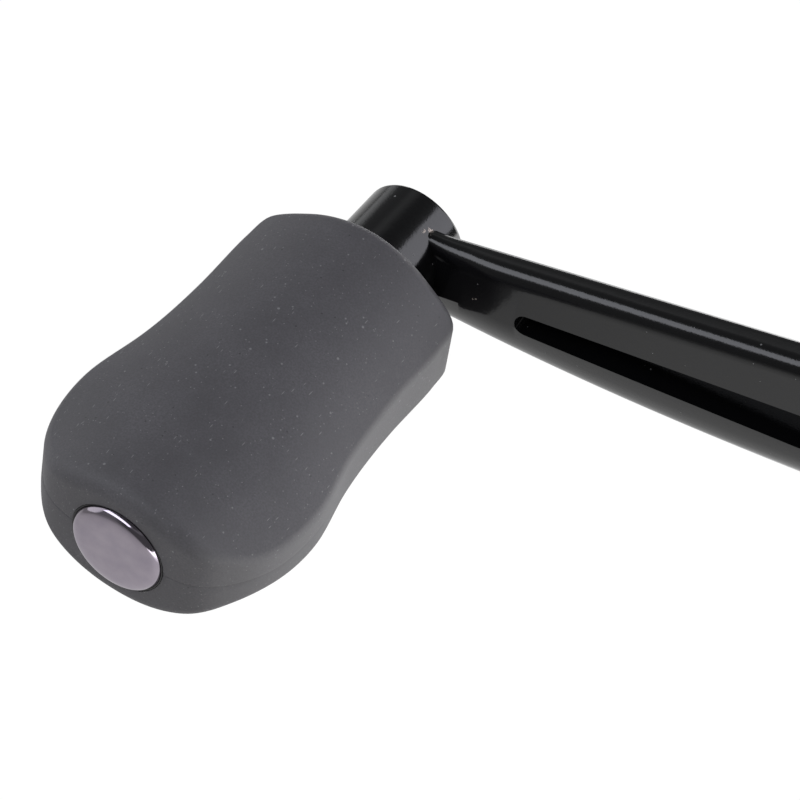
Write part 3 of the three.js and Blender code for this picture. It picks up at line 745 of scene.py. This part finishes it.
def blade():
    """The tapered arm between the boss and the lug, before its recess."""
    stations = 96
    return skin([blade_section(BLADE_END * i / stations) for i in range(stations + 1)])


def slab(outline, low, high):
    """A prism along Y whose outline is drawn in X and Z."""
    return skin([[(x, low, z) for x, z in outline], [(x, high, z) for x, z in outline]])


def recess(depth):
    """Two half circles joined by their common tangents, sunk into the arm's knob side."""
    (near_x, near_radius), (far_x, far_radius) = RECESS_NEAR, RECESS_FAR
    lean = math.asin((far_radius - near_radius) / (far_x - near_x))
    steps = 24
    outline = []
    ends = (
        (far_x, far_radius, -math.pi / 2 - lean, math.pi / 2 + lean),
        (near_x, near_radius, math.pi / 2 + lean, 1.5 * math.pi - lean),
    )
    for centre, radius, start, end in ends:
        for step in range(steps + 1):
            angle = lerp(start, end, step / steps)
            outline.append((centre + radius * math.cos(angle), RECESS_HEIGHT + radius * math.sin(angle)))
    return slab(outline, -ARM_THICKNESS, -ARM_THICKNESS / 2 + depth)


def painted_arm():
    """The blade, slotted for the fork's cheeks, with the lug's neck and eye and the knob's boss."""
    at_hinge = Matrix.Translation((ARM_SPAN, 0, 0))
    level = Matrix.Rotation(-ARM_LEAN, 4, "Z")
    sweep = CHEEK_RADIUS + 0.5
    beyond = 12  # past the blade's upper and lower edges
    blade_body = cut(
        blade(),
        moved(upright(rod(sweep, LUG_HALF_HEIGHT, beyond)), at_hinge),
        moved(upright(rod(sweep, -beyond, -LUG_HALF_HEIGHT)), at_hinge),
    )
    boss = moved(rod(BOSS_RADIUS, -BOSS_FRONT, BOSS_BACK, soften=0.45), level)
    neck_length, neck_half = 9.5, 3
    neck = block(
        (ARM_SPAN - neck_length, -neck_half, -LUG_HALF_HEIGHT), (ARM_SPAN, neck_half, LUG_HALF_HEIGHT)
    )
    eye = moved(upright(rod(LUG_RADIUS, -LUG_HALF_HEIGHT, LUG_HALF_HEIGHT)), at_hinge)
    whole = join(blade_body, neck, eye, boss)
    spindle_bore = moved(rod(2.5, -BOSS_FRONT - 1, BOSS_BACK - 1), level)
    pin_hole = moved(upright(rod(PIN_RADIUS + 0.1, -9, 9)), at_hinge)
    return bevelled(cut(whole, recess(RECESS_DEPTH), spindle_bore, pin_hole), 0.3, angle=24, segments=4)


# ---------- knuckle and lock ----------
def knuckle():
    """A barrel on the drive axis joined to a fork at the hinge, bored for the pin, button and shank."""
    height = KNUCKLE_HALF_HEIGHT
    at_hinge = Matrix.Translation((-HINGE_OFFSET, -HINGE_SETBACK, 0))
    barrel = rod(BARREL_RADIUS, BARREL_FRONT, -COLLAR_LENGTH - 0.2)
    cheeks = moved(upright(rod(CHEEK_RADIUS, -height, height)), at_hinge)
    bridge = moved(block((0, -CHEEK_RADIUS, -height), (HINGE_OFFSET, CHEEK_RADIUS, height)), at_hinge)
    gap_wall = LUG_RADIUS + 0.9 - HINGE_OFFSET
    outside = -20  # well past the cheeks
    fork_gap = block((outside, outside, -FORK_HALF_GAP), (gap_wall, 0, FORK_HALF_GAP))
    pin_hole = moved(upright(rod(PIN_RADIUS + 0.05, -height - 1, height + 1)), at_hinge)
    bolt_bore = moved(upright(rod(2.3, SPRING_FOOT - 0.1, height + 1)), BUTTON_PLACE)
    bezel_seat = moved(upright(rod(3, height - 1.1, height + 1)), BUTTON_PLACE)
    nose_cap_seat = rod(5.7, BARREL_FRONT - 1, BARREL_FRONT + 0.7)
    screw_head_bore = rod(3.3, BARREL_FRONT, BARREL_FRONT + 3)
    screw_bore = rod(2.1, BARREL_FRONT, -HINGE_SETBACK)
    shank_bore = rod(SHANK_CORNER_RADIUS + 0.1, -HINGE_SETBACK, 0)
    holes = (pin_hole, bolt_bore, bezel_seat, nose_cap_seat, screw_head_bore, screw_bore, shank_bore)
    body = cut(join(barrel, cheeks, bridge), fork_gap, *holes)
    return bevelled(body, 0.45, angle=30, segments=4)


def hinge_pin():
    """A headed pin with a dimple in its head and a groove for the clip."""
    top = KNUCKLE_HALF_HEIGHT + 0.1
    groove = -KNUCKLE_HALF_HEIGHT - 0.9
    groove_radius, head_radius = 1.2, 2.7
    profile = [
        (0, groove - 0.7), (PIN_RADIUS, groove - 0.7), (PIN_RADIUS, groove), (groove_radius, groove),
        (groove_radius, groove + 0.8), (PIN_RADIUS, groove + 0.8), (PIN_RADIUS, top), (head_radius, top),
        (head_radius, top + 0.55), (2, top + 0.9), (0.7, top + 0.9), (0.5, top + 0.7), (0, top + 0.7),
    ]
    return upright(lathe(profile, 0.15))


def pin_clip():
    """A snap ring that is open on one side."""
    low = -KNUCKLE_HALF_HEIGHT - 0.8
    high = low + 0.6
    disc = upright(ring(1.35, 2.9, low, high, 0.1))
    return bevelled(cut(disc, block((-0.8, 0, low - 1), (0.8, 4, high + 1))), 0.1)


def hexagonal_shank():
    """A hexagonal bar with a stud at its far end and a threaded hole at its near end."""
    flats_level = Matrix.Rotation(math.pi / 6, 4, "Y")
    hexagon = moved(rod(SHANK_CORNER_RADIUS, -HINGE_SETBACK + 0.2, SHANK_LENGTH, 6), flats_level)
    stud = rod(STUD_RADIUS, SHANK_LENGTH - 1, SHANK_LENGTH + STUD_LENGTH, soften=0.6)
    screw_thread = rod(2.05, -HINGE_SETBACK, -1)
    return bevelled(cut(join(hexagon, stud), screw_thread), 0.3, angle=40, segments=3)


def screw_cap():
    """A cap with a threaded bore for the stud, twelve flutes and a slot for a coin."""
    face = SHANK_LENGTH + 1.2
    end = face + SCREW_CAP_LENGTH
    waist = SCREW_CAP_RADIUS - 0.8
    bore, bore_end = STUD_RADIUS + 0.1, face + STUD_LENGTH
    chamfer = 1.5
    body = lathe([
        (0, bore_end), (bore, bore_end), (bore, face),
        (waist, face), (waist, face + 1.6), (SCREW_CAP_RADIUS, face + 2.2),
        (SCREW_CAP_RADIUS, end - chamfer), (SCREW_CAP_RADIUS - chamfer, end), (0, end),
    ], 0.35)
    flute_count, flute_radius = 12, 1.1
    at_rim = Matrix.Translation((0, 0, SCREW_CAP_RADIUS + 0.5))
    flutes = []
    for i in range(flute_count):
        turn = Matrix.Rotation(2 * math.pi * i / flute_count, 4, "Y")
        flutes.append(moved(rod(flute_radius, face + 3.2, end + 1, 48, soften=0.6), turn @ at_rim))
    slot_half_width, slot_depth, across = 0.7, 1.4, SCREW_CAP_RADIUS + 2
    slot = block((-slot_half_width, end - slot_depth, -across), (slot_half_width, end + 1, across))
    return bevelled(cut(body, *flutes, slot), 0.22, angle=35, segments=3)


def cap_washer():
    """A cupped washer whose web clears the shank's end."""
    bore = STUD_RADIUS + 0.1
    rim_inner = SHANK_CORNER_RADIUS + 0.3
    rim_outer = 6.2
    face = SHANK_LENGTH + 0.2
    web, back = face + 0.4, face + 0.8
    profile = [
        (bore, web), (rim_inner, web), (rim_inner, face),
        (rim_outer, face), (rim_outer, back), (bore, back),
    ]
    return lathe(profile, 0.1)


def reel_collar():
    """A collar with a shallow pocket for the shank's seal in its seating face."""
    bore = SHANK_CORNER_RADIUS + 0.1
    pocket_radius, pocket_floor = 5.6, -1.6
    profile = [
        (bore, -COLLAR_LENGTH), (BARREL_RADIUS, -COLLAR_LENGTH), (BARREL_RADIUS, 0),
        (pocket_radius, 0), (pocket_radius, pocket_floor), (bore, pocket_floor),
    ]
    return lathe(profile, 0.3)


def nose_cap():
    radius = 5.5
    front, back = BARREL_FRONT, BARREL_FRONT + 0.6
    profile = [(0, front - 1), (3.4, front - 0.85), (radius, front - 0.05), (radius, back), (0, back)]
    return lathe(profile, 0.35)


def lock_button():
    bolt_radius, button_radius = 2.1, 1.7
    foot = SPRING_TOP + 0.1
    shoulder = KNUCKLE_HALF_HEIGHT - 1.2
    top = KNUCKLE_HALF_HEIGHT + LOCK_TRAVEL
    profile = [
        (0, foot), (bolt_radius, foot), (bolt_radius, shoulder), (button_radius, shoulder),
        (button_radius, top), (1.1, top), (0, top - 0.12),
    ]
    return upright(lathe(profile, 0.3))


def lock_spring():
    """A coil of wire along Z, from the bottom of its pocket to the underside of the button."""
    wire, coil_radius, turns = 0.25, 1.6, 4
    steps = 24 * turns
    rings = []
    for i in range(steps + 1):
        swing = Matrix.Rotation(2 * math.pi * turns * i / steps, 3, "Z")
        height = lerp(SPRING_FOOT + wire, SPRING_TOP - wire, i / steps)
        around = [2 * math.pi * k / 12 for k in range(12)]
        section = [(coil_radius + wire * math.cos(a), 0, height + wire * math.sin(a)) for a in around]
        rings.append([swing @ Vector(point) for point in section])
    return skin(rings)


def knuckle_pieces():
    """Everything at the reel end. The spring gets a mesh of its own."""
    drive = DRIVE_FRAME
    button = DRIVE_FRAME @ BUTTON_PLACE
    height = KNUCKLE_HALF_HEIGHT
    finished("knuckle_casting", knuckle(), drive, "knuckle", "black_paint", ["hinge_knuckle"])
    finished("pivot_pin", hinge_pin(), HINGE_FRAME, "knuckle", "steel", ["hinge_pin"])
    finished("pivot_clip", pin_clip(), HINGE_FRAME, "knuckle", "steel", ["hinge_pin_clip"])
    middle = (LUG_HALF_HEIGHT + FORK_HALF_GAP) / 2
    for name, side, node in (("upper", 1, "hinge_washer_upper"), ("lower", -1, "hinge_washer_lower")):
        washer = upright(ring(PIN_RADIUS + 0.1, 4.2, side * middle - 0.25, side * middle + 0.25))
        finished(f"lug_washer_{name}", washer, HINGE_FRAME, "knuckle", "nylon", [node])
    finished("hexagonal_shank", hexagonal_shank(), drive, "knuckle", "steel", ["drive_shank"])
    finished("smoked_nose_cap", nose_cap(), drive, "knuckle", "polished_chrome", ["nose_cap"])
    finished("seating_collar", reel_collar(), drive, "knuckle", "polished_chrome", ["reel_collar"])
    bezel = upright(ring(1.85, 2.9, height - 1, height, 0.15))
    finished("button_bezel", bezel, button, "knuckle", "polished_chrome", ["button_ring"])
    finished("push_button", lock_button(), button, "button", "black_plastic", ["lock_button"])
    spring = finished("button_spring", lock_spring(), button, "knuckle", "steel", ["lock_spring"], 60)
    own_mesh(spring)
    finished("clamp_washer", cap_washer(), drive, "cap_washer_carrier", "nylon", ["cap_washer"])
    finished("fluted_screw_cap", screw_cap(), drive, "cap", "black_plastic", ["screw_cap"])


# ---------- hidden pieces, shown as the part has them ----------
KEPT_NODES = {
    "grip_core": "black_plastic",
    "inner_bush": "nylon",
    "outer_bush": "nylon",
    "knob_spindle": "steel",
    "spindle_washer": "steel",
    "spindle_screw": "steel",
    "shank_screw": "steel",
    "shank_seal": "seal_rubber",
}


def kept_nodes():
    """Gives each hidden piece its material and leaves its shape alone."""
    for node, slot in KEPT_NODES.items():
        obj = frame["nodes"][node]
        obj.data.materials.clear()
        obj.data.materials.append(MATERIALS[slot])


# ---------- studio ----------
FLOOR_DROP = 26 * MM  # floor below the part's lowest point
FLOOR_HALF = 6.0  # metres
VIEW_AZIMUTH = math.radians(32.17)
VIEW_ELEVATION = math.radians(46.5)
VIEW_ROLL = math.radians(1.36)
VIEW_DISTANCE = 450 * MM
VIEW_LENS = 201.2
AIM_FROM_KNOB = Vector((12.61, -12.67, 1.12)) * MM  # what the camera looks at
LIGHT_DISTANCE = 1.2  # metres from the knob
ROOM_BRIGHTNESS = (  # place, from 0 straight down to 1 straight up, and brightness there
    (0.0, 0.25), (0.5, 0.2), (0.8, 0.2), (0.85, 0.42), (0.87, 0.42), (0.91, 0.2), (1.0, 0.12),
)


def seen_by_camera(tree, otherwise):
    """White for the camera; the given value for light and reflections."""
    camera_ray = add(tree, "LightPath").outputs["Is Camera Ray"]
    return mix(tree, camera_ray, otherwise, grey(1.0))


def colour_ramp(tree, value, stops):
    """A colour ramp through (place, colour) stops."""
    ramp = add(tree, "ValToRGB", {0: value})
    elements = ramp.color_ramp.elements
    while len(elements) < len(stops):
        elements.new(0.5)
    for element, (place, colour) in zip(elements, stops):
        element.position = place
        element.color = colour
    return ramp.outputs[0]


def floor():
    """A glowing floor: white for the camera; its glow lights the part and shows in reflections, dark
    towards the front and bright behind on the right.
    """
    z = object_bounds()[0].z - FLOOR_DROP
    bm = bmesh.new()
    corners = ((-1, -1), (1, -1), (1, 1), (-1, 1))
    bm.faces.new([bm.verts.new((x * FLOOR_HALF, y * FLOOR_HALF, z)) for x, y in corners])
    obj = as_object(bm, "floor")
    material = bpy.data.materials.new("studio_floor")
    material.use_nodes = True
    tree = material.node_tree
    shader = tree.nodes["Principled BSDF"]
    position = add(tree, "NewGeometry").outputs["Position"]
    ends = {0: position, 1: PIVOT["knob_spin"]}
    from_knob = add(tree, "VectorMath", ends, operation="SUBTRACT").outputs[0]
    along_gradient = {0: from_knob, 1: (0.8, 0.6, 0)}
    metres = add(tree, "VectorMath", along_gradient, operation="DOT_PRODUCT").outputs["Value"]
    front_glow = remap(tree, metres, -0.2, 0.0, 0.25, 0.8)
    back_glow = remap(tree, metres, 0.03, 0.12, 0, 2.6)
    glow = maths(tree, "ADD", front_glow, back_glow)
    connect(tree, shader, Base_Color=grey(0.02), Roughness=0.9, Specular_IOR_Level=0.0)
    connect(tree, shader, Emission_Color=seen_by_camera(tree, glow), Emission_Strength=1.0)
    obj.data.materials.append(material)
    obj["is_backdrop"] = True


def soft_light(name, azimuth, elevation, size, power, colour):
    """An area light that faces the knob from the given direction, in degrees."""
    light = bpy.data.lights.new(name, "AREA")
    light.shape = "RECTANGLE"
    light.size, light.size_y = size
    light.energy = power
    light.color = colour
    obj = bpy.data.objects.new(name, light)
    bpy.context.scene.collection.objects.link(obj)
    away = direction(math.radians(azimuth), math.radians(elevation))
    obj.location = PIVOT["knob_spin"] + away * LIGHT_DISTANCE
    obj.rotation_mode = "QUATERNION"
    obj.rotation_quaternion = away.to_track_quat("Z", "Y")
    obj.visible_camera = False


def direction(azimuth, elevation):
    """Unit vector towards a camera at that azimuth and elevation; azimuth 0 is at -Y and 90 at +X."""
    level = math.cos(elevation)
    return Vector((math.sin(azimuth) * level, -math.cos(azimuth) * level, math.sin(elevation)))


def surroundings():
    """A room much darker than the floor, with a paler band high up and a bright left side."""
    world = bpy.data.worlds.new("studio")
    bpy.context.scene.world = world
    world.use_nodes = True
    tree = world.node_tree
    towards = add(tree, "SeparateXYZ", {0: add(tree, "TexCoord").outputs["Generated"]}).outputs
    height, rightward = towards[2], towards[0]
    stops = [(place, (value * 0.97, value * 0.985, value, 1)) for place, value in ROOM_BRIGHTNESS]
    room = colour_ramp(tree, remap(tree, height, -1, 1), stops)
    bright_left = remap(tree, rightward, -0.79, -0.72, 4, 0)
    dimmer_right = remap(tree, rightward, -0.37, -0.15, 1, 0.5)
    sideways = maths(tree, "ADD", bright_left, dimmer_right)
    glow = add(tree, "VectorMath", {0: room, "Scale": sideways}, operation="SCALE").outputs[0]
    tree.links.new(seen_by_camera(tree, glow), tree.nodes["Background"].inputs["Color"])


def camera():
    """A long lens above the knob's right side, rolled a little."""
    data = bpy.data.cameras.new("camera")
    data.sensor_width = 36
    data.lens = VIEW_LENS
    data.clip_start, data.clip_end = 0.01, 20
    obj = bpy.data.objects.new("camera", data)
    bpy.context.scene.collection.objects.link(obj)
    back = direction(VIEW_AZIMUTH, VIEW_ELEVATION)
    obj.location = PIVOT["knob_spin"] + AIM_FROM_KNOB + back * VIEW_DISTANCE
    obj.rotation_mode = "QUATERNION"
    upright_view = (-back).to_track_quat("-Z", "Y")
    obj.rotation_quaternion = upright_view @ Matrix.Rotation(VIEW_ROLL, 3, "Z").to_quaternion()
    bpy.context.scene.camera = obj


knob_pieces()
finished("painted_arm", painted_arm(), ARM_FRAME, "arm", "black_paint", ["handle_arm"])
knuckle_pieces()
kept_nodes()
floor()
soft_light("overhead_softbox", -30, 56, size=(1.5, 0.48), power=6.7, colour=(0.9, 0.92, 1))
soft_light("side_softbox", 137, 25, size=(0.8, 0.8), power=5.4, colour=(0.92, 0.92, 1))
surroundings()
camera()
bpy.context.scene.view_settings.view_transform = "Standard"
